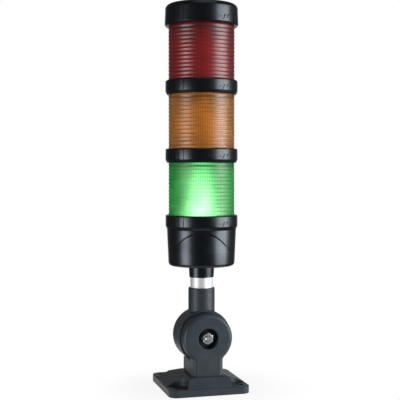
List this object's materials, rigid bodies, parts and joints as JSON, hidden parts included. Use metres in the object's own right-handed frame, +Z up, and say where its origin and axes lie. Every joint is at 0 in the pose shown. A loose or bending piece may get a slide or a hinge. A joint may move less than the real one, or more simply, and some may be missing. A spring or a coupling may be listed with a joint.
{
  "type": "stack light",
  "caption": "Three-tier signal tower with ribbed red, amber and green lenses between black twist-lock collars, on a tube in a tilting foot bracket.",
  "frame": {"origin": "on the underside of the foot plate, below the axis of the stack", "axes": "+Z up along the stack, +Y towards the back, where the cable leaves; the bracket tilts about Y"},
  "size_m": [0.08, 0.085, 0.3765],
  "materials": {
    "bracket_plastic": "fine grained moulding",
    "housing_plastic": "satin moulding",
    "green_lens_plastic": "clear tinted, ribbed, lit",
    "amber_lens_plastic": "clear tinted, ribbed",
    "red_lens_plastic": "clear tinted, ribbed",
    "tube_aluminium": "satin",
    "plated_steel": "zinc plated",
    "black_steel": "blackened",
    "contact_brass": "bright",
    "seal_rubber": "smooth",
    "circuit_board": "white solder mask",
    "led_package": "moulded",
    "light_guide_plastic": "opal",
    "terminal_plastic": "moulded"
  },
  "bodies": {
    "foot": {"bracket_foot": "bracket_plastic", "pivot_bolt": "plated_steel", "pivot_washer": "plated_steel", "pivot_nut": "plated_steel"},
    "arm": {"pivot_arm": "bracket_plastic", "arm_grub_screws": "black_steel", "cable_grommet": "seal_rubber", "tube": "tube_aluminium", "base_housing": "housing_plastic", "neck_grub_screws": "black_steel", "base_contact_plate": "housing_plastic", "base_contact_pins": "contact_brass", "terminal_block": "terminal_plastic", "terminal_screws": "plated_steel"},
    "green_module": {"green_collar": "housing_plastic", "green_seal": "seal_rubber", "green_lens": "green_lens_plastic", "green_led_board": "circuit_board", "green_leds": "led_package", "green_light_guide": "light_guide_plastic", "green_contact_plate": "housing_plastic", "green_contact_pins": "contact_brass"},
    "amber_module": {"amber_collar": "housing_plastic", "amber_seal": "seal_rubber", "amber_lens": "amber_lens_plastic", "amber_led_board": "circuit_board", "amber_leds": "led_package", "amber_light_guide": "light_guide_plastic", "amber_contact_plate": "housing_plastic", "amber_contact_pins": "contact_brass"},
    "red_module": {"red_collar": "housing_plastic", "red_seal": "seal_rubber", "red_lens": "red_lens_plastic", "red_led_board": "circuit_board", "red_leds": "led_package", "red_light_guide": "light_guide_plastic", "red_contact_plate": "housing_plastic", "red_contact_pins": "contact_brass"},
    "cap": {"top_cap": "housing_plastic", "cap_seal": "seal_rubber"}
  },
  "joints": [
    {"name": "bracket_tilt", "type": "hinge", "parent": "foot", "child": "arm", "pos_m": [0, 0, 0.053], "axis": [0, 1, 0], "range_deg": [-90, 90]},
    {"name": "green_twist", "type": "hinge", "parent": "arm", "child": "green_module", "pos_m": [0, 0, 0.1578], "axis": [0, 0, 1], "range_deg": [0, 25]},
    {"name": "amber_twist", "type": "hinge", "parent": "green_module", "child": "amber_module", "pos_m": [0, 0, 0.2225], "axis": [0, 0, 1], "range_deg": [0, 25]},
    {"name": "red_twist", "type": "hinge", "parent": "amber_module", "child": "red_module", "pos_m": [0, 0, 0.2889], "axis": [0, 0, 1], "range_deg": [0, 25]},
    {"name": "cap_twist", "type": "hinge", "parent": "red_module", "child": "cap", "pos_m": [0, 0, 0.3553], "axis": [0, 0, 1], "range_deg": [0, 25]}
  ]
}
